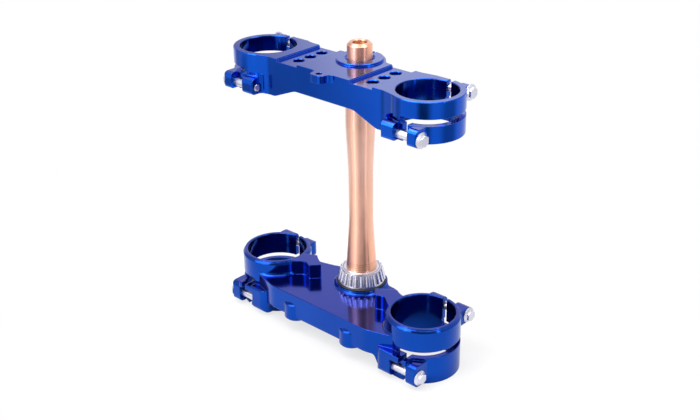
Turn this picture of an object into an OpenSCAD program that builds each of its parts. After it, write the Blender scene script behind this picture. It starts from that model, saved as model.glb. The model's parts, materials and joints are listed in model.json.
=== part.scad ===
// Off-road motorcycle triple clamp: upper and lower fork clamps on a steering stem,
// with the lower steering bearing seated and eight pinch bolts in place.
// The stem axis is Z, the wheel is towards -Y, and z = 0 is the stem's lower end.

/* [Forks] */
// Distance between the two fork leg axes
fork_spacing = 193; // [186:1:204]
// Distance from the stem axis forward to the line of the fork axes
fork_offset = 22; // [19:0.5:25]
// Height from the top of the lower clamp to the top of the upper clamp
clamp_spacing = 215; // [200:1:240]
// Fork tube diameter held by the upper clamp
upper_bore_d = 54; // [51:0.5:55]
// Fork tube diameter held by the lower clamp
lower_bore_d = 60; // [57:0.5:61]

/* [Upper clamp] */
// Height of the upper clamp at the fork rings
upper_h = 36.5; // [34:0.5:40]
// Height of the front wall at the middle of the upper clamp
upper_arch_h = 26; // [22:0.5:30]
// Wall of the upper fork rings
upper_wall = 6; // [5:0.5:8]
// Front wall of the upper clamp ahead of the line of the fork axes
upper_front = 26.5; // [24:0.5:29]
// Rear edge of the upper clamp behind the line of the fork axes
upper_back = 30; // [28:0.5:33]
// Height from the top face down to the slot that splits each upper ring
upper_slot_top = 15; // [13:0.5:17]
// Height of the raised boss round the stem
boss_h = 2; // [1:0.5:4]
// Radius of the raised boss round the stem
boss_r = 22; // [20:0.5:24]

/* [Bar mounts] */
// Distance between the left and right rows of bar mount holes
bar_spacing = 90; // [84:1:94]
// Distance from hole to hole along a row
bar_pitch = 15; // [12:0.5:16]
// Diameter of the bar mount holes
bar_hole_d = 10.4; // [8:0.1:11]
// Width of the milled channel that each row lies in
channel_w = 25.5; // [20:0.5:27]
// Depth of the milled channel
channel_deep = 2.5; // [1:0.5:4]

/* [Lower clamp] */
// Height of the lower clamp at the fork rings
lower_h = 56; // [53:0.5:61]
// Wall of the lower fork rings
lower_wall = 5; // [4.5:0.5:8]
// Front wall of the lower clamp ahead of the line of the fork axes
lower_front = 42; // [39:0.5:45]
// Height from the top of the lower rings down to the plate
plate_drop = 15; // [12:0.5:18]
// Height from the top of the lower rings down to the underside of the plate
plate_under = 39; // [36:0.5:43]
// Height from the top of the lower rings down to the slot that splits each lower ring
lower_slot_top = 23; // [21:0.5:26]

/* [Clamp splits and bolts] */
// Height of the slot that splits each ring into two halves
slot_h = 6; // [4:0.5:8]
// Width of the slit that lets each half ring close
slit_w = 5; // [3:0.5:7]
// Diameter of the clamp bolts
bolt_d = 8; // [6:1:8]
// Flange diameter of the clamp bolts
bolt_flange_d = 14.5; // [13:0.5:16]
// Head width across flats of the clamp bolts
bolt_flats = 9; // [8:1:12]

/* [Stem] */
// Stem diameter through the upper clamp
stem_top_d = 23.4; // [22:0.2:25]
// Stem diameter at the upper bearing seat
stem_upper_seat_d = 27.8; // [26:0.2:30]
// Smallest diameter of the stem's waist
stem_waist_d = 23.5; // [22:0.5:26]
// Stem diameter at the lower bearing seat
stem_lower_seat_d = 30; // [28:0.5:32]
// Height of the stem above the upper clamp's top face
stem_stand = 16.5; // [10:0.5:22]
// Bore of the stem's threaded top end
stem_bore_d = 13.4; // [10:0.2:15]

/* [Lower bearing] */
// Height of the bearing's inner ring
bearing_h = 16; // [14:0.5:18]
// Number of tapered rollers
roller_count = 23; // [18:1:24]

/* [Hidden] */
$fa = 15;
$fs = 2.5;

// Colours
blue = [0.07, 0.13, 0.62];
copper = [0.85, 0.55, 0.38];
steel = [0.78, 0.78, 0.80];
titanium = [0.80, 0.79, 0.78];
rubber = [0.10, 0.10, 0.12];

// Shared clearances
overrun = 1;
thread_gap = 0.05;
shank_gap = 0.2;
run_gap = 0.08;
window_gap = 0.7;

// Heights of the two clamps
fork_x = fork_spacing / 2;
fork_y = -fork_offset;
hub_under = 3;
lower_top = plate_under + hub_under;
lower_foot = lower_top - lower_h;
plate_top = lower_top - plate_drop;
plate_foot = lower_top - plate_under;
upper_top = lower_top + clamp_spacing;
upper_foot = upper_top - upper_h;
stem_top = upper_top + stem_stand;
upper_ring_r = upper_bore_d / 2 + upper_wall;
lower_ring_r = lower_bore_d / 2 + lower_wall;
upper_front_y = fork_y - upper_front;
upper_back_y = fork_y + upper_back;
lower_front_y = fork_y - lower_front;
reach = fork_spacing;

// Edge breaks
ring_chamfer = 0.6;
bore_chamfer = 0.6;

// Clamp bolt axes: how far they pass from the bore, and how far below the clamp's top they lie
bolt_r = bolt_d / 2;
bolt_pass = 1.2;
upper_bolt_out = upper_bore_d / 2 + bolt_r + bolt_pass;
lower_bolt_out = lower_bore_d / 2 + bolt_r + bolt_pass;
upper_front_bolt_drop = 31;
upper_rear_bolt_drop = 6.8;
lower_front_bolt_drop = 44.2;
lower_rear_bolt_drop = 9.8;

// Lugs, measured across from each fork axis
upper_inner_lug_in = 18;
lower_inner_lug_in = 23.5;
lower_rear_lug_in = 18.5;
inner_lug_out = 4.6;
upper_outer_lug_in = 11;
lower_outer_lug_in = 14.4;
rear_outer_lug_in = 11.5;
upper_outer_lug_out = 20.3;
lower_outer_lug_out = 25.2;
lower_thread_end = 15;

// Lugs, measured from the bolt axis: reach past it, height below and above it
upper_front_lug = [7.5, 5.5, 9.8];
upper_rear_lug = [6.3, 6.3, 6.3];
lower_front_lug = [6.8, 8.8, 16.2];
lower_outer_lug = [6.8, 8.8, 12.6];
lower_rear_lug = [7.4, 7.4, 7.4];
lug_round = 8;
front_lug_top_round = 2;
outer_lug_top_round = 5;
front_lug_foot_round = 5;
upper_lug_foot_round = 3;
outer_end_round = 1.5;

upper_slit_x = 3;
lower_slit_x = 8;
rear_slit_x = 1.5;
slot_start = 2;
upper_split_z = upper_top - upper_slot_top;
lower_split_z = lower_top - lower_slot_top;

// Fasteners
head_h = 4.2;
flange_h = 1.6;
bolt_end_r = 4.8;
bolt_end_deep = 0.8;
bolt_end_back = 0.2;
bolt_end_chamfer = 1;
bolt_end_gap = 1;
pinch_d = 6;
pinch_head_d = 10;
pinch_head_h = 6;
pinch_y = 16.6;
pinch_seat = 9;
pinch_slit_w = 2.5;

// Lower bearing and its seat
race_small_t = 1.6;
race_large_t = 4;
rib_large_t = 5.6;
rib_small_t = 2.6;
seal_w = 4.2;
seat_boss_rim = 0.9;
roller_fill_share = 0.8345;
roller_small_share = 0.86;
cage_share = 0.8;
race_small_r = stem_lower_seat_d / 2 + race_small_t;
race_large_r = stem_lower_seat_d / 2 + race_large_t;
rib_large_r = stem_lower_seat_d / 2 + rib_large_t;
rib_small_r = stem_lower_seat_d / 2 + rib_small_t;
roller_pitch_sin = sin(180 / roller_count);
roller_large_d = 2 * race_large_r * roller_fill_share * roller_pitch_sin / (1 - roller_pitch_sin);
roller_small_d = roller_large_d * roller_small_share;
cage_r = race_large_r + roller_large_d * cage_share;
seal_r = rib_large_r + seal_w;
seal_h = 2.4;
seat_boss_r = seal_r + seat_boss_rim;
seat_boss_h = 3;
cone_z = plate_top + seat_boss_h;
cone_top_z = cone_z + bearing_h;

// Round a path of [x, y, radius] corners into a list of points
arc_steps = 7;
arc_turn = 30;
fillet_steps = 4;
arc_length = 2.6;
function steps(sweep, r) =
    max(ceil(abs(sweep) / arc_turn), min(arc_steps, ceil(r * abs(sweep) * PI / 180 / arc_length)));
function flat_xy(p) = [p[0], p[1]];
function corner(a, b, c, r) =
    r == 0 ? [b] :
    let (u = (a - b) / norm(a - b), v = (c - b) / norm(c - b),
         half = acos(u * v) / 2,
         s = b + u * r / tan(half), e = b + v * r / tan(half),
         m = b + (u + v) / norm(u + v) * r / sin(half),
         a0 = atan2(s[1] - m[1], s[0] - m[0]),
         turn = atan2(e[1] - m[1], e[0] - m[0]) - a0,
         sweep = turn > 180 ? turn - 360 : turn < -180 ? turn + 360 : turn,
         n = steps(sweep, r))
    [for (i = [0:n])
        m + r * [cos(a0 + sweep * i / n), sin(a0 + sweep * i / n)]];
function rounded(p) =
    let (n = len(p))
    [for (i = [0:n - 1])
        each corner(flat_xy(p[(i + n - 1) % n]), flat_xy(p[i]), flat_xy(p[(i + 1) % n]), p[i][2])];
// Corners given as shares of a width, a depth and a corner size
function sized(shares, w, d, r) = [for (p = shares) [p[0] * w, p[1] * d, p[2] * r]];
// A point that lies inside the ring round a fork, turned away from the front
function on_ring(r, turn) = [fork_x - r * sin(turn), fork_y - r * cos(turn), 0];
// The left half of a symmetric outline follows from the right half
function mirrored(p) = [for (i = [len(p) - 1:-1:0]) [-p[i][0], p[i][1], p[i][2]]];
function both_sides(p) = concat(p, mirrored(p));

// Repeats a shape on the left and right side
module sides() {
    children();
    mirror([1, 0, 0]) children();
}

// A round post with a chamfer on its upper rim
module post(r, h, chamfer) {
    cylinder(r = r, h = h - chamfer);
    translate([0, 0, h - chamfer]) cylinder(r1 = r, r2 = r - chamfer, h = chamfer);
}

// A cutter for a bore with a small chamfer at both mouths
module bore_cut(r, h, chamfer) {
    translate([0, 0, -overrun]) cylinder(r = r, h = h + 2 * overrun);
    translate([0, 0, h - chamfer]) cylinder(r1 = r, r2 = r + chamfer + overrun, h = chamfer + overrun);
    translate([0, 0, -overrun]) cylinder(r1 = r + chamfer + overrun, r2 = r, h = chamfer + overrun);
}

// A bolt lug between its end at x0 and its root at x1, reaching to y1 on the side that turn names:
// -1 towards the wheel, 1 towards the rider. size is the reach past the bolt and the heights round it
module lug(x0, x1, turn, y, z, size, foot_round, top_round, end_round)
    intersection() {
        translate([0, 0, z - size[1]]) linear_extrude(size[1] + size[2]) polygon(rounded([
            [x0, fork_y, 0],
            [x0, y + turn * size[0], end_round],
            [x1, y + turn * size[0], 0],
            [x1, fork_y, 0]]));
        translate([min(x0, x1), 0, 0]) rotate([90, 0, 90])
            linear_extrude(abs(x1 - x0)) polygon(rounded([
                [fork_y, z - size[1], 0],
                [fork_y, z + size[2], 0],
                [y + turn * size[0], z + size[2], top_round],
                [y + turn * size[0], z - size[1], foot_round]]));
    }

// Holes for one clamp bolt: threaded in the inner lug, clear in the window and the outer lug,
// and a spot face for the head's flange
module bolt_cut(y, z, thread_end, outer_in, outer_out)
    translate([fork_x, y, z]) rotate([0, 90, 0]) {
        translate([0, 0, -thread_end]) cylinder(r = bolt_r + thread_gap, h = thread_end + outer_in);
        translate([0, 0, -inner_lug_out]) cylinder(r = bolt_r + window_gap, h = inner_lug_out + outer_in);
        cylinder(r = bolt_r + shank_gap, h = outer_out + overrun);
        translate([0, 0, outer_out]) cylinder(r = bolt_flange_d / 2 + shank_gap, h = bolt_flange_d);
    }

// Recess where a clamp bolt's end comes out of the inner lug
module bolt_end_cut(y, z, inner_in)
    translate([fork_x - inner_in - overrun, y, z]) rotate([0, 90, 0])
        cylinder(r = bolt_end_r, h = bolt_end_deep + overrun);

// Splits one right-hand fork ring: the slot, the rear slit above it and the front slit below it
module ring_split(split_z, top_z, foot_z, front_slit_x) {
    translate([fork_x - slot_start, fork_y - reach / 2, split_z - slot_h])
        cube([reach, reach, slot_h]);
    translate([fork_x + rear_slit_x - slit_w / 2, fork_y, split_z - slot_h / 2])
        cube([slit_w, reach, top_z - split_z + slot_h]);
    translate([fork_x + front_slit_x - slit_w / 2, fork_y - reach, foot_z - overrun])
        cube([slit_w, reach, split_z - slot_h / 2 - foot_z + overrun]);
}

// Openings between the lugs that show the bolts' shanks, outside the ring's wall
window_bite = 0.3;
module window(turn, ring_r, outer_in, z0, z1)
    difference() {
        translate([fork_x - inner_lug_out, fork_y + min(0, turn * reach), z0])
            cube([inner_lug_out + outer_in, reach, z1 - z0]);
        translate([fork_x, fork_y, z0 - overrun])
            cylinder(r = ring_r - window_bite, h = z1 - z0 + 2 * overrun);
    }

// Narrow groove that carries the slot inboard round the front of an upper ring
groove_h = 2.4;
groove_drop = 18;
groove_wall = 3;
module slot_groove()
    difference() {
        translate([fork_x - upper_inner_lug_in, fork_y - reach, upper_top - groove_drop - groove_h])
            cube([upper_inner_lug_in, reach, groove_h]);
        translate([fork_x, fork_y, upper_foot]) cylinder(r = upper_bore_d / 2 + groove_wall, h = upper_h);
        translate([0, fork_y, upper_foot]) cube([fork_x, reach, upper_h]);
    }

// Upper clamp outlines
arch_flat = 36;
arch_flat_round = 16;
arch_foot = 62;
arch_foot_round = 10;
wing_in = 27;
wing_round = 25;
ring_turn = 12;
upper_rear_shares = [
    [0.80, 0.72, 0.14],
    [0.45, 1.00, 0.36]];
upper_notch_x = 24.6;
upper_notch_round = 7;
upper_heel_in = 31;
upper_heel_round = 10;
upper_plan = both_sides(concat([
    [fork_x - wing_in, upper_front_y, wing_round],
    on_ring(upper_ring_r - overrun, ring_turn),
    [fork_x, fork_y, 0],
    [fork_x, fork_y + upper_ring_r - overrun, 0],
    [fork_x - upper_inner_lug_in, fork_y + upper_ring_r - overrun, lug_round],
    [fork_x - upper_heel_in, upper_back_y, upper_heel_round],
    [upper_notch_x, upper_back_y, upper_notch_round]],
    sized(upper_rear_shares, boss_r, boss_r, boss_r)));
upper_elevation = both_sides([
    [arch_flat, upper_top - upper_arch_h, arch_flat_round],
    [arch_foot, upper_foot, arch_foot_round],
    [reach, upper_foot, 0],
    [reach, upper_top, 0]]);

// Small ear at the front of the upper clamp with its screw hole
ear_w = 15;
ear_front = 10;
ear_h = 7;
ear_tip_round = 4;
ear_root_round = 5;
ear_hole_d = 6;
ear_hole_in = 5.5;
module upper_ear()
    translate([0, 0, upper_top - ear_h]) linear_extrude(ear_h)
        polygon(rounded(both_sides([
            [ear_w / 2, upper_front_y - ear_front, ear_tip_round],
            [ear_w / 2, upper_front_y, ear_root_round],
            [ear_w, upper_front_y, 0],
            [ear_w, upper_front_y + overrun, 0]])));

// The inner and outer lug at the front or the rear of an upper ring
module upper_lugs(turn, z, size, foot_round, top_round) {
    lug(fork_x - upper_inner_lug_in, fork_x - inner_lug_out, turn, fork_y + turn * upper_bolt_out, z,
        size, foot_round, top_round, outer_end_round);
    lug(fork_x + upper_outer_lug_out, fork_x + upper_outer_lug_in, turn, fork_y + turn * upper_bolt_out, z,
        size, foot_round, top_round, outer_end_round);
}
// Blend between an upper inner lug and the clamp's front wall
lug_blend_r = 5;
module lug_blend()
    translate([fork_x - upper_inner_lug_in, fork_y - upper_bolt_out, upper_foot])
        linear_extrude(upper_h - groove_drop) polygon(concat(
            [[overrun, lug_blend_r + overrun], [overrun, 0]],
            [for (i = [0:fillet_steps]) let (a = 90 * i / fillet_steps)
                [lug_blend_r * cos(a) - lug_blend_r, lug_blend_r * sin(a)]],
            [[-lug_blend_r, lug_blend_r + overrun]]));

module upper_bolt_holes(y, z) {
    bolt_cut(y, z, upper_inner_lug_in + overrun, upper_outer_lug_in, upper_outer_lug_out);
    bolt_end_cut(y, z, upper_inner_lug_in);
}

// Upper clamp
module upper_clamp() color(blue)
    difference() {
        union() {
            intersection() {
                translate([0, 0, upper_foot]) linear_extrude(upper_h) polygon(rounded(upper_plan));
                translate([0, reach, 0]) rotate([90, 0, 0])
                    linear_extrude(2 * reach) polygon(rounded(upper_elevation));
            }
            translate([0, 0, upper_top - upper_arch_h]) post(boss_r, upper_arch_h + boss_h, boss_h / 4);
            sides() {
                translate([fork_x, fork_y, upper_foot]) post(upper_ring_r, upper_h, ring_chamfer);
                upper_lugs(-1, upper_top - upper_front_bolt_drop, upper_front_lug, upper_lug_foot_round,
                           outer_lug_top_round);
                upper_lugs(1, upper_top - upper_rear_bolt_drop, upper_rear_lug, upper_rear_lug[0],
                           upper_rear_lug[0]);
            }
            upper_ear();
            sides() lug_blend();
        }
        sides() {
            translate([fork_x, fork_y, upper_foot]) bore_cut(upper_bore_d / 2, upper_h, bore_chamfer);
            ring_split(upper_split_z, upper_top, upper_foot, upper_slit_x);
            slot_groove();
            window(-1, upper_ring_r, upper_outer_lug_in, upper_foot - overrun, upper_split_z - slot_h / 2);
            window(1, upper_ring_r, upper_outer_lug_in, upper_split_z - slot_h / 2, upper_top + overrun);
            upper_bolt_holes(fork_y - upper_bolt_out, upper_top - upper_front_bolt_drop);
            upper_bolt_holes(fork_y + upper_bolt_out, upper_top - upper_rear_bolt_drop);
            bar_channel();
            upper_pockets();
        }
        stem_hole();
        translate([0, upper_front_y - ear_front + ear_hole_in, upper_top - ear_h - overrun])
            cylinder(r = ear_hole_d / 2, h = ear_h + 2 * overrun);
    }

// Milled channel with a row of three bar mount holes
module bar_channel() {
    translate([bar_spacing / 2 - channel_w / 2, upper_front_y - overrun, upper_top - channel_deep])
        cube([channel_w, upper_front + upper_back + 2 * overrun, channel_deep + overrun]);
    translate([bar_spacing / 2 - channel_w / 2 - channel_step, upper_front_y - overrun,
               upper_top - channel_step])
        cube([channel_w + 2 * channel_step, upper_front + upper_back + 2 * overrun, channel_step + overrun]);
    for (i = [-1:1])
        translate([bar_spacing / 2, fork_y + bar_row_back + i * bar_pitch, upper_foot]) {
            translate([0, 0, -overrun]) cylinder(r = bar_screw_d / 2, h = upper_h);
            translate([0, 0, upper_h - channel_deep - bar_step]) cylinder(r = bar_hole_d / 2, h = upper_h);
            translate([0, 0, upper_h - channel_deep - bar_mouth])
                cylinder(r1 = bar_hole_d / 2, r2 = bar_hole_d / 2 + bar_mouth + overrun,
                         h = bar_mouth + overrun);
        }
}
bar_row_back = 4;
bar_mouth = 0.6;
bar_step = 3.4;
bar_screw_d = 8.4;
channel_step = 0.9;

// Lightening pockets under each arm, either side of the bar mount rib
pocket_roof = 10;
pocket_wall = 6;
module upper_pockets()
    difference() {
        translate([boss_r, upper_front_y + pocket_wall, 0])
            cube([fork_x - boss_r, upper_front + upper_back - 2 * pocket_wall, upper_top - pocket_roof]);
        cylinder(r = boss_r + pocket_wall, h = upper_top);
        translate([fork_x, fork_y, 0]) cylinder(r = upper_ring_r, h = upper_top);
        translate([bar_spacing / 2 - bar_hole_d, -reach, 0]) cube([2 * bar_hole_d, 2 * reach, upper_top]);
    }

// Hole for the stem, its wide mouth, the rear pinch slit and the pinch bolt's hole
stem_mouth = 2.4;
module stem_hole() {
    translate([0, 0, upper_foot]) cylinder(r = stem_top_d / 2, h = upper_h + boss_h + overrun);
    translate([0, 0, upper_top + boss_h - stem_mouth])
        cylinder(r1 = stem_top_d / 2, r2 = stem_top_d / 2 + stem_mouth + overrun, h = stem_mouth + overrun);
    translate([-pinch_slit_w / 2, 0, upper_foot])
        cube([pinch_slit_w, boss_r + overrun, upper_h + boss_h + overrun]);
    translate([-boss_r, pinch_y, pinch_z]) rotate([0, 90, 0])
        cylinder(r = pinch_d / 2 + thread_gap, h = 2 * boss_r);
    translate([pinch_seat, pinch_y, pinch_z]) rotate([0, 90, 0])
        cylinder(r = pinch_head_d / 2 + shank_gap, h = boss_r);
}
pinch_z = upper_top - upper_arch_h / 2;

// Lower clamp outlines
lower_wing = 62;
lower_wing_round = 30;
lower_ring_turn = 10;
lower_back = 34.5;
lower_rear_shares = [
    [0.756, 0.810, 0.10],
    [0.632, 0.725, 0.16],
    [0.456, 0.855, 0.03],
    [0.342, 0.985, 0.08],
    [0.249, 1.000, 0.06],
    [0.124, 1.310, 0.10]];
function behind(p) = [p[0], fork_y + p[1], p[2]];
lower_plan = both_sides(concat([
    [lower_wing, lower_front_y, lower_wing_round],
    on_ring(lower_ring_r - overrun, lower_ring_turn),
    [fork_x, fork_y, 0],
    [fork_x - inner_lug_out, fork_y + lower_ring_r - overrun, 0],
    [fork_x - lower_rear_lug_in, fork_y + lower_ring_r - overrun, lug_round]],
    [for (p = sized(lower_rear_shares, fork_x, lower_back, fork_x)) behind(p)]));
arm_foot_x = 70.5;
arm_foot_round = 4;
lug_foot_x = 74.5;
lug_foot_drop = 49;
lower_elevation = both_sides([
    [arm_foot_x, plate_foot, arm_foot_round],
    [lug_foot_x, lower_top - lug_foot_drop, arm_foot_round],
    [fork_x, lower_foot, 0],
    [reach, lower_foot, 0],
    [reach, plate_top, 0]]);

// Round fender pads at the front wall, with their holes
pad_x = 37;
pad_in = 9;
pad_r = 12;
rear_pad_r = 8.5;
pad_drop = 27;
pad_foot_drop = 43.5;
pad_chamfer = 1.2;
fender_hole_d = 6;
fender_hole_deep = 16;
fender_rear_y = 7;
module fender_pads() {
    translate([pad_x, lower_front_y + pad_in, 0]) pad(pad_r);
    translate([pad_x, -fender_rear_y, 0]) pad(rear_pad_r);
}
module pad(r) {
    translate([0, 0, lower_top - pad_drop]) rotate([180, 0, 0])
        cylinder(r = r, h = pad_foot_drop - pad_drop - pad_chamfer);
    translate([0, 0, lower_top - pad_foot_drop]) cylinder(r1 = r - pad_chamfer, r2 = r, h = pad_chamfer);
    translate([0, 0, lower_top - pad_drop]) cylinder(r1 = r, r2 = r - pad_chamfer, h = pad_chamfer);
}
module fender_holes()
    for (y = [lower_front_y + pad_in, -fender_rear_y])
        translate([pad_x, y, lower_top - pad_foot_drop - overrun])
            cylinder(r = fender_hole_d / 2, h = fender_hole_deep + overrun);

// Raised stop beside each lower ring, from the stem side round to the ring
stop_shares = [
    [0.367, 0.927, 0.016],
    [0.456, 1.341, 0.021],
    [0.543, 1.164, 0.060],
    [0.660, 1.550, 0],
    [1.000, 1.000, 0],
    [0.653, 0.636, 0],
    [0.549, 0.386, 0.016],
    [0.477, 0.618, 0.031],
    [0.415, 0.773, 0.031]];
stop_plan = sized(stop_shares, fork_x, fork_y, fork_x);

// The lugs of a lower ring: deep blocks at the front, and a blind one that stands on the plate behind
window_drop = 34.5;
module lower_front_lugs(y, z) {
    lug(fork_x - lower_inner_lug_in, fork_x + lower_outer_lug_in, -1, y, z,
        lower_front_lug, front_lug_foot_round, front_lug_top_round, lug_round);
    lug(fork_x + lower_outer_lug_out, fork_x, -1, y, z,
        lower_outer_lug, front_lug_foot_round, outer_lug_top_round, outer_end_round);
}
module lower_rear_lugs(y, z) {
    lug(fork_x - lower_rear_lug_in, fork_x - inner_lug_out, 1, y, z,
        lower_rear_lug, 0, lower_rear_lug[0], lug_round);
    lug(fork_x + lower_outer_lug_out, fork_x + rear_outer_lug_in, 1, y, z,
        lower_rear_lug, lower_rear_lug[0], lower_rear_lug[0], outer_end_round);
}

// Lower clamp
module lower_clamp() color(blue)
    difference() {
        union() {
            intersection() {
                translate([0, 0, lower_foot]) linear_extrude(plate_top - lower_foot)
                    polygon(rounded(lower_plan));
                translate([0, reach, 0]) rotate([90, 0, 0])
                    linear_extrude(2 * reach) polygon(rounded(lower_elevation));
            }
            intersection() {
                union() {
                    sides() translate([fork_x, fork_y, plate_top]) foot_blend(lower_ring_r);
                    translate([0, 0, plate_top]) foot_blend(seat_boss_r);
                }
                translate([0, 0, plate_top]) linear_extrude(foot_fillet) polygon(rounded(lower_plan));
            }
            sides() {
                translate([fork_x, fork_y, lower_foot]) lower_ring();
                lower_front_lugs(fork_y - lower_bolt_out, lower_top - lower_front_bolt_drop);
                lower_rear_lugs(fork_y + lower_bolt_out, lower_top - lower_rear_bolt_drop);
                translate([0, 0, plate_foot]) linear_extrude(plate_under) polygon(rounded(stop_plan));
                fender_pads();
            }
            translate([0, 0, plate_foot]) cylinder(r = seat_boss_r, h = plate_top + seat_boss_h - plate_foot);
            cylinder(r = boss_r, h = plate_top);
        }
        sides() {
            translate([fork_x, fork_y, lower_foot]) bore_cut(lower_bore_d / 2, lower_h, bore_chamfer);
            ring_split(lower_split_z, lower_top, lower_foot, lower_slit_x);
            window(-1, lower_ring_r, lower_outer_lug_in, lower_foot - overrun, lower_top - window_drop);
            window(1, lower_ring_r, rear_outer_lug_in, lower_split_z - slot_h / 2, lower_top + overrun);
            bolt_cut(fork_y - lower_bolt_out, lower_top - lower_front_bolt_drop,
                     lower_thread_end, lower_outer_lug_in, lower_outer_lug_out);
            bolt_cut(fork_y + lower_bolt_out, lower_top - lower_rear_bolt_drop,
                     lower_thread_end, rear_outer_lug_in, lower_outer_lug_out);
            fender_holes();
            lower_pockets();
        }
        translate([0, 0, -overrun]) cylinder(r = stem_lower_seat_d / 2, h = lower_h);
    }

// Lower fork ring with its stepped upper rim
rim_h = 1.2;
rim_foot = 3;
rim_in = 2;
rim_cone_in = 1.4;
module lower_ring() {
    cylinder(r = lower_ring_r, h = lower_h - rim_foot);
    translate([0, 0, lower_h - rim_foot])
        cylinder(r1 = lower_ring_r, r2 = lower_ring_r - rim_cone_in, h = rim_foot - rim_h);
    cylinder(r = lower_ring_r - rim_in, h = lower_h);
}

// Blend where a lower ring or the bearing's seat rises out of the plate
foot_fillet = 3;
module foot_blend(r)
    rotate_extrude() polygon(concat(
        [[r - overrun, 0], [r - overrun, foot_fillet]],
        [for (i = [0:fillet_steps]) let (a = 180 + 90 * i / fillet_steps)
            [r + foot_fillet + foot_fillet * cos(a), foot_fillet + foot_fillet * sin(a)]]));

// Lightening pockets under the plate, either side of the rib that joins the fender pads
lower_pocket_front = 19;
lower_pocket_len = 27;
module lower_pockets()
    difference() {
        translate([boss_r, lower_front_y + lower_pocket_front, lower_foot])
            cube([fork_x - boss_r, lower_pocket_len, plate_top - pocket_roof - lower_foot]);
        cylinder(r = seat_boss_r + pocket_wall / 2, h = upper_top);
        translate([fork_x, fork_y, lower_foot]) cylinder(r = lower_ring_r, h = upper_top);
        translate([pad_x - pad_r, -reach, lower_foot]) cube([2 * pad_r, 2 * reach, upper_top]);
    }

// Stem
module stem() color(copper)
    difference() {
        rotate_extrude() polygon(rounded([
            [0, 0, 0],
            [stem_lower_seat_d / 2, 0, 0],
            [stem_lower_seat_d / 2, cone_top_z + seat_relief, 0],
            [flare_mid_d / 2, lower_top + flare_mid_up, waist_round],
            [stem_waist_d / 2, lower_top + waist_low_up, waist_round],
            [stem_waist_d / 2, upper_top - waist_high_down, waist_round],
            [stem_upper_seat_d / 2, upper_top - upper_seat_down, seat_round],
            [stem_upper_seat_d / 2, upper_top - upper_arch_h, 0],
            [stem_top_d / 2, upper_top - upper_arch_h, 0],
            [stem_top_d / 2, stem_top - stem_chamfer, 0],
            [stem_top_d / 2 - stem_chamfer, stem_top, 0],
            [0, stem_top, 0]]));
        translate([0, 0, -overrun])
            cylinder(r = stem_inner_d / 2, h = stem_top - stem_thread_h);
        translate([0, 0, stem_top - stem_thread_h - 2 * overrun])
            cylinder(r = stem_bore_d / 2, h = stem_thread_h + 3 * overrun);
        translate([0, 0, stem_top - bore_chamfer])
            cylinder(r1 = stem_bore_d / 2, r2 = stem_bore_d / 2 + bore_chamfer + overrun,
                     h = bore_chamfer + overrun);
    }
seat_relief = 1;
flare_mid_d = 26.6;
flare_mid_up = 27;
waist_low_up = 54;
waist_high_down = 108;
upper_seat_down = 63;
waist_round = 180;
seat_round = 60;
stem_chamfer = 2.2;
stem_inner_d = 18;
stem_thread_h = 40;

// Tapered roller bearing, wide end down: a cone ring, a slotted cage and its rollers
rib_h = 2.4;
rib_small_h = 1.5;
roller_end_gap = 0.3;
race_low_z = cone_z + rib_h;
race_high_z = cone_top_z - rib_small_h;
race_tilt = atan((race_large_r - race_small_r) / (race_high_z - race_low_z));
roller_len = 11;
roller_taper = atan((roller_large_d - roller_small_d) / 2 / roller_len);
roller_tilt = race_tilt + roller_taper;

module bearing_cone() color(steel)
    difference() {
        rotate_extrude() polygon([
            [stem_lower_seat_d / 2, cone_z],
            [rib_large_r, cone_z],
            [rib_large_r, race_low_z],
            [race_large_r, race_low_z],
            [race_small_r, race_high_z],
            [rib_small_r, race_high_z],
            [rib_small_r, cone_top_z - bore_chamfer],
            [rib_small_r - bore_chamfer, cone_top_z],
            [stem_lower_seat_d / 2, cone_top_z]]);
    }

// Puts one roller shape in its tilted place on the cone's race
module on_race(i)
    rotate([0, 0, 360 * i / roller_count])
        translate([race_large_r + run_gap + roller_large_d / 2 * cos(roller_tilt), 0,
                   race_low_z + roller_end_gap + roller_large_d / 2 * sin(roller_tilt)])
            rotate([0, -roller_tilt, 0]) children();

module bearing_rollers() color(steel)
    for (i = [0:roller_count - 1]) on_race(i)
        cylinder(r1 = roller_large_d / 2, r2 = roller_small_d / 2, h = roller_len);

// Cage: a thin conical shell round the rollers with one window for each
cage_t = 1.1;
cage_lip = 0.7;
cage_side_gap = 0.06;
cage_low_z = race_low_z - cage_lip;
cage_high_z = cone_top_z - bore_chamfer;
cage_lean = 3;
cage_slope = tan(roller_tilt + cage_lean);
module bearing_cage() color(steel)
    difference() {
        rotate_extrude() polygon([
            [cage_r - cage_t, cage_low_z],
            [cage_r, cage_low_z],
            [cage_r - (cage_high_z - cage_low_z) * cage_slope, cage_high_z],
            [cage_r - (cage_high_z - cage_low_z) * cage_slope - cage_t, cage_high_z]]);
        for (i = [0:roller_count - 1]) on_race(i) roller_window();
    }
module roller_window()
    translate([-roller_large_d, 0, -roller_end_gap / 2]) rotate([90, 0, 90])
        linear_extrude(2 * roller_large_d) polygon([
            [-roller_large_d / 2 - cage_side_gap, 0],
            [roller_large_d / 2 + cage_side_gap, 0],
            [roller_small_d / 2 + cage_side_gap, roller_len + roller_end_gap],
            [-roller_small_d / 2 - cage_side_gap, roller_len + roller_end_gap]]);

// Dust seal under the bearing
module dust_seal() color(rubber)
    rotate_extrude() polygon([
        [rib_large_r + run_gap, cone_z],
        [seal_r - seal_h / 3, cone_z],
        [seal_r, cone_z + seal_h / 3],
        [seal_r - seal_h / 3, cone_z + seal_h * 2 / 3],
        [rib_large_r + run_gap, cone_z + seal_h / 2]]);

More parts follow.
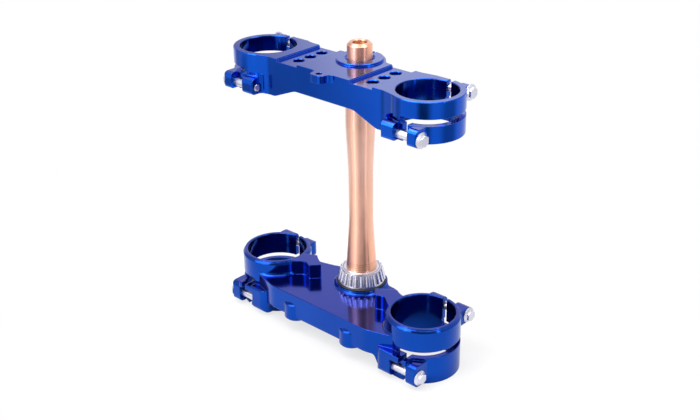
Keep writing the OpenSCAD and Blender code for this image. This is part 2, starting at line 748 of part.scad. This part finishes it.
// Hexagon flange bolt with its head towards +X, seated at the origin
module flange_bolt(length) color(titanium)
    rotate([0, 90, 0]) {
        cylinder(r = bolt_flange_d / 2, h = flange_h / 2);
        translate([0, 0, flange_h / 2])
            cylinder(r1 = bolt_flange_d / 2, r2 = bolt_flats / 2, h = flange_h);
        cylinder(r = bolt_flats / 2 / cos(30), h = head_h, $fn = 6);
        translate([0, 0, bolt_end_chamfer - length]) cylinder(r = bolt_r, h = length - bolt_end_chamfer);
        translate([0, 0, -length])
            cylinder(r1 = bolt_r - bolt_end_chamfer, r2 = bolt_r, h = bolt_end_chamfer);
    }

// Places a clamp bolt on the right side, or the same one mirrored to the left
module right_bolt(y, z, inner_in, outer_out)
    translate([fork_x + outer_out, y, z]) flange_bolt(outer_out + inner_in - bolt_end_back);
module left_bolt(y, z, inner_in, outer_out)
    mirror([1, 0, 0]) right_bolt(y, z, inner_in, outer_out);

module upper_front_right_bolt()
    right_bolt(fork_y - upper_bolt_out, upper_top - upper_front_bolt_drop,
            upper_inner_lug_in, upper_outer_lug_out);
module upper_front_left_bolt()
    left_bolt(fork_y - upper_bolt_out, upper_top - upper_front_bolt_drop,
            upper_inner_lug_in, upper_outer_lug_out);
module upper_rear_right_bolt()
    right_bolt(fork_y + upper_bolt_out, upper_top - upper_rear_bolt_drop,
            upper_inner_lug_in, upper_outer_lug_out);
module upper_rear_left_bolt()
    left_bolt(fork_y + upper_bolt_out, upper_top - upper_rear_bolt_drop,
            upper_inner_lug_in, upper_outer_lug_out);
module lower_front_right_bolt()
    right_bolt(fork_y - lower_bolt_out, lower_top - lower_front_bolt_drop,
            lower_thread_end - bolt_end_gap, lower_outer_lug_out);
module lower_front_left_bolt()
    left_bolt(fork_y - lower_bolt_out, lower_top - lower_front_bolt_drop,
            lower_thread_end - bolt_end_gap, lower_outer_lug_out);
module lower_rear_right_bolt()
    right_bolt(fork_y + lower_bolt_out, lower_top - lower_rear_bolt_drop,
            lower_thread_end - bolt_end_gap, lower_outer_lug_out);
module lower_rear_left_bolt()
    left_bolt(fork_y + lower_bolt_out, lower_top - lower_rear_bolt_drop,
            lower_thread_end - bolt_end_gap, lower_outer_lug_out);

// Socket screw that pinches the upper clamp on the stem
pinch_socket = 5;
module stem_pinch_bolt() color(titanium)
    translate([pinch_seat, pinch_y, pinch_z]) rotate([0, 90, 0])
        difference() {
            union() {
                cylinder(r = pinch_head_d / 2, h = pinch_head_h);
                translate([0, 0, -2 * pinch_seat]) cylinder(r = pinch_d / 2, h = 2 * pinch_seat);
            }
            translate([0, 0, pinch_head_h / 2])
                cylinder(r = pinch_socket / 2 / cos(30), h = pinch_head_h, $fn = 6);
        }

upper_clamp();
lower_clamp();
stem();
bearing_cone();
bearing_cage();
bearing_rollers();
dust_seal();
upper_front_right_bolt();
upper_front_left_bolt();
upper_rear_right_bolt();
upper_rear_left_bolt();
lower_front_right_bolt();
lower_front_left_bolt();
lower_rear_right_bolt();
lower_rear_left_bolt();
stem_pinch_bolt();
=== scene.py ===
"""Looks of the motorcycle triple clamp: materials, light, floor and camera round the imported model."""
import json
import math

import bpy
from mathutils import Matrix, Vector


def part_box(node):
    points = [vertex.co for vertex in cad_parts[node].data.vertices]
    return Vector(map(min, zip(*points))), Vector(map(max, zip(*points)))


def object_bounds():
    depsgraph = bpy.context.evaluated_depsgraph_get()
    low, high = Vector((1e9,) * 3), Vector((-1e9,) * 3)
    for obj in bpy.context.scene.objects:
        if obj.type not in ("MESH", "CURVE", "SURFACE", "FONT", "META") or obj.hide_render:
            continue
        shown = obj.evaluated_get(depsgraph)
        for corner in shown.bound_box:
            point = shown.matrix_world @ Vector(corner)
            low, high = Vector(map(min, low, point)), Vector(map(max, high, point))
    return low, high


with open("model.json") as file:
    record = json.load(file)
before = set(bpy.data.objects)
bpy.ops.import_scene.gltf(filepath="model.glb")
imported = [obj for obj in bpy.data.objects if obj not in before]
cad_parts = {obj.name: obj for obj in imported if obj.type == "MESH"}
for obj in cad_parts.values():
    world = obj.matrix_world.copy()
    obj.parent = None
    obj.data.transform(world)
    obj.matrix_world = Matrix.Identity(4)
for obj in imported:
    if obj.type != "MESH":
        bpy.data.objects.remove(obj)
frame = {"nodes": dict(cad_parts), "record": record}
cad_box = [[float(v) for v in p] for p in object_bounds()]
nodes = frame["nodes"]
mounts = {m["name"]: m for m in frame["record"]["mounts"]}
scene = bpy.context.scene
scene.view_settings.view_transform = "Standard"

MM = 0.001
RISING = (0.0, 1.0)
FALLING = (1.0, 0.0)


# Node helpers

def rgba(colour):
    return (*colour, 1.0)


def grey(level):
    return (level, level, level)


class Tree:
    """Short calls for building one node tree. An input takes a number, a vector or another socket."""

    # Places of the colour sockets on a Mix node
    MIX_FIRST = 6
    MIX_SECOND = 7
    MIX_RESULT = 2

    def __init__(self, tree):
        self.tree = tree

    def add(self, kind, **settings):
        node = self.tree.nodes.new(kind)
        for key, value in settings.items():
            setattr(node, key, value)
        return node

    def join(self, output, target):
        self.tree.links.new(output, target)

    def put(self, target, value):
        if hasattr(value, "is_linked"):
            self.join(value, target)
        else:
            target.default_value = value

    def coords(self, kind):
        return self.add("ShaderNodeTexCoord").outputs[kind]

    def along(self, vector, axis):
        """One coordinate of a vector."""
        parts = self.add("ShaderNodeSeparateXYZ")
        self.join(vector, parts.inputs[0])
        return parts.outputs[axis]

    def math(self, operation, a, b=0.0):
        node = self.add("ShaderNodeMath", operation=operation)
        self.put(node.inputs[0], a)
        self.put(node.inputs[1], b)
        return node.outputs[0]

    def vector_math(self, operation, a, b, result="Vector"):
        node = self.add("ShaderNodeVectorMath", operation=operation)
        self.put(node.inputs[0], a)
        self.put(node.inputs[1], b)
        return node.outputs[result]

    def noise(self, vector, scale, detail=3.0, rough=0.5):
        node = self.add("ShaderNodeTexNoise")
        self.put(node.inputs["Vector"], vector)
        node.inputs["Scale"].default_value = scale
        node.inputs["Detail"].default_value = detail
        node.inputs["Roughness"].default_value = rough
        return node.outputs["Fac"]

    def span(self, value, source, result):
        """Turns a value that runs between the two numbers of source into the two of result."""
        node = self.add("ShaderNodeMapRange")
        self.put(node.inputs["Value"], value)
        node.inputs["From Min"].default_value = source[0]
        node.inputs["From Max"].default_value = source[1]
        node.inputs["To Min"].default_value = result[0]
        node.inputs["To Max"].default_value = result[1]
        return node.outputs["Result"]

    def blend(self, share, first, second):
        """The colour that is first where share is 0 and second where it is 1."""
        node = self.add("ShaderNodeMix", data_type="RGBA")
        self.put(node.inputs[0], share)
        self.put(node.inputs[self.MIX_FIRST], first)
        self.put(node.inputs[self.MIX_SECOND], second)
        return node.outputs[self.MIX_RESULT]

    def mix_shaders(self, share, first, second):
        node = self.add("ShaderNodeMixShader")
        self.join(share, node.inputs[0])
        self.join(first.outputs[0], node.inputs[1])
        self.join(second.outputs[0], node.inputs[2])
        return node.outputs[0]

    def in_reflection(self, path):
        """1 for the rays by which metal and glass show what is round them."""
        return self.math("MAXIMUM", path.outputs["Is Glossy Ray"], path.outputs["Is Transmission Ray"])


def material(name):
    """A new material, with its tree and its shader."""
    mat = bpy.data.materials.new(name)
    mat.use_nodes = True
    return mat, Tree(mat.node_tree), mat.node_tree.nodes["Principled BSDF"]


def recolour(tree, shader, share, colour):
    """Takes the shader's base colour towards another colour by share."""
    base = shader.inputs["Base Color"]
    tree.join(tree.blend(share, base.links[0].from_socket, rgba(colour)), base)


# Metals: scales are features to the metre, and lengths are metres

PATCH_SCALE = 18.0
PATCH_RANGE = (0.35, 0.65)
SMEAR_SCALE = 60.0
UNEVEN_RANGE = (0.7, 1.3)
SMOOTHEST_SHARE = 0.8
DULLEST_SHARE = 1.25
MILLED_MARKS = (900.0, 900.0, 900.0)
TURNED_MARKS = (60.0, 60.0, 1800.0)
MARK_DEPTH = 0.00004
EDGE_SAMPLES = 6


def metal(name, pale, deep, rough, grain, edge_mm, marks=MILLED_MARKS):
    """A metal with slight patches of colour, fine tool marks and softened edges.

    The colour lies between pale and deep, rough is the middle roughness, grain the strength of the
    marks, edge_mm the radius to which edges are shaded, and marks their scale along each axis.
    """
    mat, tree, shader = material(name)
    where = tree.coords("Object")
    shader.inputs["Metallic"].default_value = 1.0

    patches = tree.span(tree.noise(where, PATCH_SCALE, detail=2.0), PATCH_RANGE, RISING)
    tree.join(tree.blend(patches, rgba(pale), rgba(deep)), shader.inputs["Base Color"])

    fine = tree.noise(tree.vector_math("MULTIPLY", where, marks), scale=1.0, detail=2.0, rough=0.6)
    uneven = tree.math("ADD", tree.noise(where, SMEAR_SCALE), fine)
    rough_range = (rough * SMOOTHEST_SHARE, rough * DULLEST_SHARE)
    tree.join(tree.span(uneven, UNEVEN_RANGE, rough_range), shader.inputs["Roughness"])

    edge = tree.add("ShaderNodeBevel", samples=EDGE_SAMPLES)
    edge.inputs["Radius"].default_value = edge_mm * MM
    bump = tree.add("ShaderNodeBump")
    bump.inputs["Strength"].default_value = grain
    bump.inputs["Distance"].default_value = MARK_DEPTH
    tree.join(fine, bump.inputs["Height"])
    tree.join(edge.outputs[0], bump.inputs["Normal"])
    tree.join(bump.outputs[0], shader.inputs["Normal"])
    return mat, tree, shader


# A face's upward share, from sloping to level, over which the painted sheen of the light above fades in
LEVEL_RANGE = (0.80, 0.97)
# How far outside a bore's radius the painted shade in it starts and stops fading
BORE_FADE = (0.0002, 0.0009)


def in_bore(tree, mount):
    """1 on the walls of the mount's bore and of its mirror image, by the distance from their axes: the places
    of the painted bore shade.
    """
    where = tree.coords("Object")
    bore_x, bore_y = mount["pos_m"][:2]
    radius = mount["dims"]["r_mm"] * MM
    across = tree.math("SUBTRACT", tree.math("ABSOLUTE", tree.along(where, "X")), abs(bore_x))
    ahead = tree.math("SUBTRACT", tree.along(where, "Y"), bore_y)
    squares = tree.math("ADD", tree.math("MULTIPLY", across, across), tree.math("MULTIPLY", ahead, ahead))
    fade = (radius + BORE_FADE[0], radius + BORE_FADE[1])
    return tree.span(tree.math("SQRT", squares), fade, FALLING)


def anodised_blue(name, pale, deep, painted_top_sheen, painted_bore_shade, mount, edge_mm):
    """Anodised blue, with a painted sheen of the light above on milled faces that lie level, and painted
    shade in the fork bores.
    """
    mat, tree, shader = metal(name, pale, deep, rough=0.13, grain=0.10, edge_mm=edge_mm)
    upward = tree.vector_math("DOT_PRODUCT", tree.coords("Normal"), (0.0, 0.0, 1.0), result="Value")
    # Painted sheen: faces that lie level are made paler, as if lit from above
    recolour(tree, shader, tree.span(upward, LEVEL_RANGE, RISING), painted_top_sheen)
    # Painted shade: the fork bores are darker, as their walls shade each other
    recolour(tree, shader, in_bore(tree, mounts[mount]), painted_bore_shade)
    shader.inputs["Coat Weight"].default_value = 0.08
    shader.inputs["Coat Roughness"].default_value = 0.05
    shader.inputs["Coat IOR"].default_value = 1.45
    return mat


# Heights above the bearing: where the foot's painted reflection of the dark clamps stops, and where the top
# end's begins
FOOT_FADE = (0.0, 0.11)
TOP_FADE = (0.205, 0.215)
# Heights above the bearing between which dark lines paint the shade in the tool's grooves
GROOVES_START = (0.0010, 0.0014)
GROOVES_END = (0.0086, 0.0090)
GROOVE_PITCH = 0.0019
GROOVE_HALF_WIDTH = GROOVE_PITCH / 5


def anodised_copper(name, pale, deep, painted_end_reflection, painted_groove_shade):
    """Turned and polished copper-coloured metal, painted deeper orange at its foot and top as a reflection of
    the dark clamps, with painted groove shade as dark lines above the bearing.
    """
    mat, tree, shader = metal(name, pale, deep, rough=0.36, grain=0.03, edge_mm=0.5, marks=TURNED_MARKS)
    shader.inputs["Coat Weight"].default_value = 0.7
    shader.inputs["Coat Roughness"].default_value = 0.22
    shader.inputs["Coat IOR"].default_value = 1.6
    shader.inputs["Anisotropic"].default_value = 0.92
    shader.inputs["Anisotropic Rotation"].default_value = 0.25
    around = tree.add("ShaderNodeTangent", direction_type="RADIAL", axis="Z")
    tree.join(around.outputs[0], shader.inputs["Tangent"])

    height = tree.math("SUBTRACT", tree.along(tree.coords("Object"), "Z"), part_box("bearing_cone")[1][2])
    # Painted reflection: the foot and the top end are deeper orange, as if reflecting the dark clamps beside
    # them
    recolour(tree, shader, tree.span(height, FOOT_FADE, FALLING), painted_end_reflection)
    recolour(tree, shader, tree.span(height, TOP_FADE, RISING), painted_end_reflection)

    # Painted shade: dark lines stand in for the shade in the tool's grooves
    started = tree.span(height, GROOVES_START, RISING)
    not_ended = tree.span(height, GROOVES_END, FALLING)
    from_groove = tree.math("PINGPONG", height, GROOVE_PITCH / 2)
    line = tree.span(from_groove, (0.0, GROOVE_HALF_WIDTH), FALLING)
    recolour(tree, shader, tree.math("MULTIPLY", tree.math("MULTIPLY", started, not_ended), line), painted_groove_shade)
    return mat


# How far the painted shade of a neighbour reaches, and the openness below which the steel is painted dark
GAP_WIDTH = 0.0012
GAP_RANGE = (0.38, 0.66)
PAINTED_GAP_SHADE = (0.03, 0.03, 0.08)


def bearing_steel(name, pale, deep, rough):
    """Ground steel with painted shade that darkens it in the narrow gaps."""
    mat, tree, shader = metal(name, pale, deep, rough, grain=0.10, edge_mm=0.15)
    shade = tree.add("ShaderNodeAmbientOcclusion", samples=8)
    shade.inputs["Distance"].default_value = GAP_WIDTH
    # Painted shade: the steel is darkened where its neighbours are near
    recolour(tree, shader, tree.span(shade.outputs["AO"], GAP_RANGE, FALLING), PAINTED_GAP_SHADE)
    return mat


SEAL_CLOUD_SCALE = 90.0
SEAL_SPECK_SCALE = 300.0
SEAL_SPECK_RANGE = (0.3, 0.7)
SEAL_DEEP = (0.006, 0.006, 0.009)
SEAL_PALE = (0.014, 0.014, 0.018)
SEAL_ROUGH = (0.35, 0.55)


def seal_rubber(name):
    """Black rubber with a slightly uneven sheen."""
    mat, tree, shader = material(name)
    where = tree.coords("Object")
    cloud = tree.noise(where, SEAL_CLOUD_SCALE)
    speck = tree.noise(where, SEAL_SPECK_SCALE)
    tree.join(tree.blend(cloud, rgba(SEAL_DEEP), rgba(SEAL_PALE)), shader.inputs["Base Color"])
    tree.join(tree.span(speck, SEAL_SPECK_RANGE, SEAL_ROUGH), shader.inputs["Roughness"])
    return mat


def dress(name, mat):
    slots = nodes[name].data.materials
    slots.clear()
    slots.append(mat)


# In both blues the level-face colour is a painted sheen of the light above, and the bore colour is painted
# shade
upper_blue = anodised_blue(
    "anodised_blue", pale=(0.004, 0.085, 0.58), deep=(0.003, 0.072, 0.52), painted_top_sheen=(0.14, 0.19, 0.56),
    painted_bore_shade=(0.003, 0.046, 0.31), mount="upper_fork_clamp_right", edge_mm=0.7)
# Painted shade: the lower clamp is a darker copy of the upper blue, with duller level faces, as the upper
# clamp shades it
lower_blue_painted_shade = anodised_blue(
    "anodised_blue_lower_painted_shade", pale=(0.004, 0.060, 0.39), deep=(0.003, 0.050, 0.34), painted_top_sheen=(0.035, 0.055, 0.37),
    painted_bore_shade=(0.003, 0.042, 0.27), mount="lower_fork_clamp_right", edge_mm=1.5)
copper = anodised_copper(
    "anodised_copper", pale=(0.95, 0.56, 0.43), deep=(0.92, 0.51, 0.38), painted_end_reflection=(0.96, 0.46, 0.28),
    painted_groove_shade=(0.42, 0.20, 0.12))
silver = metal("bolt_silver", (0.70, 0.70, 0.79), (0.62, 0.62, 0.71), rough=0.36, grain=0.2, edge_mm=0.5)[0]
steel = bearing_steel("bearing_steel", (0.78, 0.76, 0.85), (0.70, 0.68, 0.77), rough=0.24)
cage_steel = bearing_steel("cage_steel", (0.72, 0.70, 0.80), (0.64, 0.62, 0.72), rough=0.30)

for name in nodes:
    if name.endswith("_bolt"):
        dress(name, silver)
dress("upper_clamp", upper_blue)
dress("lower_clamp", lower_blue_painted_shade)
dress("stem", copper)
dress("bearing_cone", steel)
dress("bearing_cage", cage_steel)
dress("bearing_rollers", steel)
dress("dust_seal", seal_rubber("seal_rubber"))


# Light and surroundings: angles are degrees, azimuth 0 is the part's front and 90 its +X side

def toward(azimuth, elevation=0.0):
    """The direction from the part to something at that azimuth and elevation."""
    a = math.radians(azimuth)
    e = math.radians(elevation)
    return Vector((math.sin(a) * math.cos(e), -math.cos(a) * math.cos(e), math.sin(e)))


# The upward share of a direction, from low to high, and the strength of the light from there
SKY_HEIGHTS = (-0.2, 0.9)
SKY_STRENGTHS = (0.65, 1.05)
DARK_SIDE = toward(azimuth=43, elevation=38)
# How nearly a direction points to the middle of the dark side, from its rim inwards
DARK_RANGE = (0.55, 0.85)
DARKEST = 0.68


def studio_world():
    """A plain white world that lights the part softly, and that reflections see darker on one side."""
    world = bpy.data.worlds.new("studio")
    scene.world = world
    world.use_nodes = True
    tree = Tree(world.node_tree)
    tree.tree.nodes.clear()
    direction = tree.coords("Generated")
    path = tree.add("ShaderNodeLightPath")
    by_camera = path.outputs["Is Camera Ray"]

    lit = tree.add("ShaderNodeBackground")
    tree.join(tree.span(tree.along(direction, "Z"), SKY_HEIGHTS, SKY_STRENGTHS), lit.inputs["Strength"])

    white = tree.add("ShaderNodeBackground")
    white.inputs["Color"].default_value = rgba(grey(1.0))
    nearness = tree.vector_math("DOT_PRODUCT", direction, tuple(DARK_SIDE), result="Value")
    dark = tree.span(nearness, DARK_RANGE, (0.0, DARKEST))
    dark_in_reflection = tree.math("MULTIPLY", dark, tree.math("SUBTRACT", 1.0, by_camera))
    tree.join(tree.math("SUBTRACT", 1.0, dark_in_reflection), white.inputs["Strength"])

    shown = tree.math("MAXIMUM", by_camera, tree.in_reflection(path))
    output = tree.add("ShaderNodeOutputWorld")
    tree.join(tree.mix_shaders(shown, lit, white), output.inputs[0])


def panel(name, place, aim, size, watts):
    """A rectangular lamp that the camera doesn't see; size is its width and height."""
    light = bpy.data.lights.new(name, "AREA")
    light.shape = "RECTANGLE"
    light.size = size[0]
    light.size_y = size[1]
    light.energy = watts
    lamp = bpy.data.objects.new(name, light)
    scene.collection.objects.link(lamp)
    lamp.location = place
    lamp.rotation_mode = "QUATERNION"
    lamp.rotation_quaternion = (Vector(aim) - Vector(place)).to_track_quat("-Z", "Y")
    lamp.visible_camera = False


def card(name, azimuth, reach, low, high, width, soft, colour):
    """An upright card that only reflections show, as the dark things round a studio table are.

    It stands at reach from the origin, between the heights low and high, and soft is the width over
    which each of its sides fades out.
    """
    half = width / 2
    corners = [(-half, 0, low), (half, 0, low), (half, 0, high), (-half, 0, high)]
    mesh = bpy.data.meshes.new(name)
    mesh.from_pydata(corners, [], [(0, 1, 2, 3)])
    board = bpy.data.objects.new(name, mesh)
    scene.collection.objects.link(board)
    board.location = toward(azimuth) * reach
    board.rotation_euler = (0, 0, math.radians(azimuth))

    mat, tree, shader = material(name)
    shader.inputs["Base Color"].default_value = rgba(grey(0.0))
    shader.inputs["Roughness"].default_value = 1.0
    shader.inputs["Emission Color"].default_value = rgba(colour)
    shader.inputs["Emission Strength"].default_value = 1.0
    from_middle = tree.math("ABSOLUTE", tree.along(tree.coords("Object"), "X"))
    tree.join(tree.span(from_middle, (half - soft, half), FALLING), shader.inputs["Alpha"])
    mesh.materials.append(mat)

    board.visible_camera = False
    board.visible_diffuse = False
    board.visible_shadow = False


# Lamps: reaches and places are metres, and the ring is counted in steps of degrees
MIDDLE = Vector((0, -0.02, 0.13))
KEY_REACH = 1.3
RING_COUNT = 8
RING_FIRST = -100
RING_STEP = 40
RING_REACH = 0.9
TALL_MIDDLE = Vector((0, 0, 0.34))
TALL_AIM = Vector((0, 0, 0.16))
TALL_REACH = 0.85


def lamps():
    """A wide soft key lamp, a ring of weak ones high round the part, and two tall narrow ones."""
    panel("key_panel", toward(azimuth=-20, elevation=50) * KEY_REACH, MIDDLE, size=(0.9, 0.9), watts=9)
    for step in range(RING_COUNT):
        azimuth = RING_FIRST + RING_STEP * step
        place = MIDDLE + toward(azimuth, elevation=68) * RING_REACH
        panel("strip_%d" % azimuth, place, MIDDLE, size=(0.5, 0.2), watts=0.8)
    for azimuth in (-8, 86):
        place = TALL_MIDDLE + toward(azimuth) * TALL_REACH
        panel("tall_%d" % azimuth, place, TALL_AIM, size=(0.10, 0.6), watts=0.9)


def cards():
    """The cards that give the metal its dark bands: one for the level faces, and four for the walls."""
    card("back_left_card", azimuth=246, reach=0.45, low=0.36, high=0.75, width=0.40, soft=0.16,
         colour=(0.30, 0.31, 0.55))
    card("front_card", azimuth=38, reach=0.46, low=-0.02, high=0.14, width=0.36, soft=0.12, colour=grey(0.12))
    card("left_card", azimuth=-48, reach=0.50, low=-0.02, high=0.13, width=0.30, soft=0.10, colour=grey(0.5))
    card("right_card", azimuth=100, reach=0.50, low=-0.02, high=0.14, width=0.5, soft=0.15, colour=grey(0.45))
    card("side_card", azimuth=-75, reach=0.50, low=0.00, high=0.60, width=0.30, soft=0.12, colour=grey(0.5))


# Floor: its gap below the part keeps the two faces from flickering
FLOOR_RADIUS = 0.40
FLOOR_GAP = 0.0003
FLOOR_GREY = 0.8
# Distances from the part's axis over which the floor fades into the white background
FLOOR_FADE = (0.16, 0.36)
WHITE_TO_CAMERA = (0.70, 1.0)
WHITE_IN_REFLECTION = (0.10, 1.0)


def pale_floor():
    """A pale disc that takes the part's shadow close by and turns to plain white farther out."""
    bpy.ops.mesh.primitive_circle_add(vertices=96, radius=FLOOR_RADIUS, fill_type="NGON",
                                      location=(0, 0, cad_box[0][2] - FLOOR_GAP))
    floor = bpy.context.object
    floor.name = "floor"
    mat, tree, shader = material("floor")
    shader.inputs["Base Color"].default_value = rgba(grey(FLOOR_GREY))
    shader.inputs["Roughness"].default_value = 0.8
    white = tree.add("ShaderNodeEmission")
    white.inputs["Color"].default_value = rgba(grey(1.0))

    distance = tree.add("ShaderNodeVectorMath", operation="LENGTH")
    tree.join(tree.coords("Object"), distance.inputs[0])
    distance = distance.outputs["Value"]
    path = tree.add("ShaderNodeLightPath")
    to_camera = tree.math("MULTIPLY", path.outputs["Is Camera Ray"],
                          tree.span(distance, FLOOR_FADE, WHITE_TO_CAMERA))
    in_metal = tree.math("MULTIPLY", tree.in_reflection(path),
                         tree.span(distance, FLOOR_FADE, WHITE_IN_REFLECTION))
    share = tree.math("MAXIMUM", to_camera, in_metal)
    tree.join(tree.mix_shaders(share, shader, white), mat.node_tree.nodes["Material Output"].inputs[0])
    floor.data.materials.append(mat)


studio_world()
lamps()
cards()
pale_floor()


# Camera, at the photograph's viewing angle: fitted to points on both clamps

CAMERA_AZIMUTH = 43.0533
CAMERA_ELEVATION = 25.7321
CAMERA_ROLL = -0.7566
CAMERA_AIM = Vector((-0.014524, 0, 0.101584))
CAMERA_DISTANCE = 1.0773
LENS_MM = 57.11
SENSOR_MM = 36


def look():
    """Places the camera and makes it the scene's own."""
    back = toward(CAMERA_AZIMUTH, CAMERA_ELEVATION)
    level = Vector((math.cos(math.radians(CAMERA_AZIMUTH)), math.sin(math.radians(CAMERA_AZIMUTH)), 0))
    upright = back.cross(level)
    roll = math.radians(CAMERA_ROLL)
    right = level * math.cos(roll) + upright * math.sin(roll)
    up = upright * math.cos(roll) - level * math.sin(roll)
    data = bpy.data.cameras.new("camera")
    data.lens = LENS_MM
    data.sensor_width = SENSOR_MM
    camera = bpy.data.objects.new("camera", data)
    scene.collection.objects.link(camera)
    turn = Matrix((right, up, back)).transposed().to_4x4()
    turn.translation = CAMERA_AIM + back * CAMERA_DISTANCE
    camera.matrix_world = turn
    scene.camera = camera


look()
